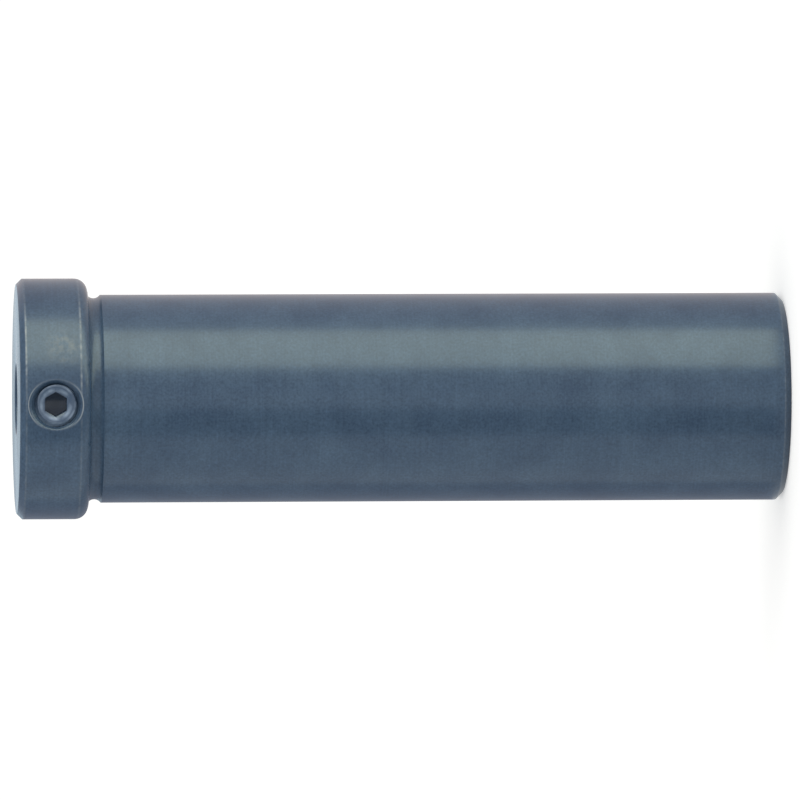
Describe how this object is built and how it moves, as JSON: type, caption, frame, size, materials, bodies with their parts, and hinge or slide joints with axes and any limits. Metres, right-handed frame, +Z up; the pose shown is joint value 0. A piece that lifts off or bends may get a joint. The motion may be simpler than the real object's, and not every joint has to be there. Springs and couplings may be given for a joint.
{
  "type": "adapter sleeve",
  "caption": "Round steel sleeve with a stepped head and a recessed set screw, which lets a small round tool shank fit a larger tool holder.",
  "frame": {"origin": "centre of the shank's end face, on which the sleeve stands", "axes": "+Z up along the bore from the shank's end to the head, -Y out of the front, where the set screw sits, +X to the right seen from the front"},
  "size_m": [0.022, 0.022, 0.0704],
  "materials": {
    "oxide_steel": "ground, blue-black oxide",
    "screw_steel": "black oxide"
  },
  "bodies": {
    "sleeve": {"sleeve": "oxide_steel"},
    "set_screw": {"set_screw": "screw_steel"}
  },
  "joints": [
    {"name": "set_screw_travel", "type": "slide", "parent": "sleeve", "child": "set_screw", "axis": [0, 1, 0], "range_m": [-0.00635, 0.00159]}
  ]
}
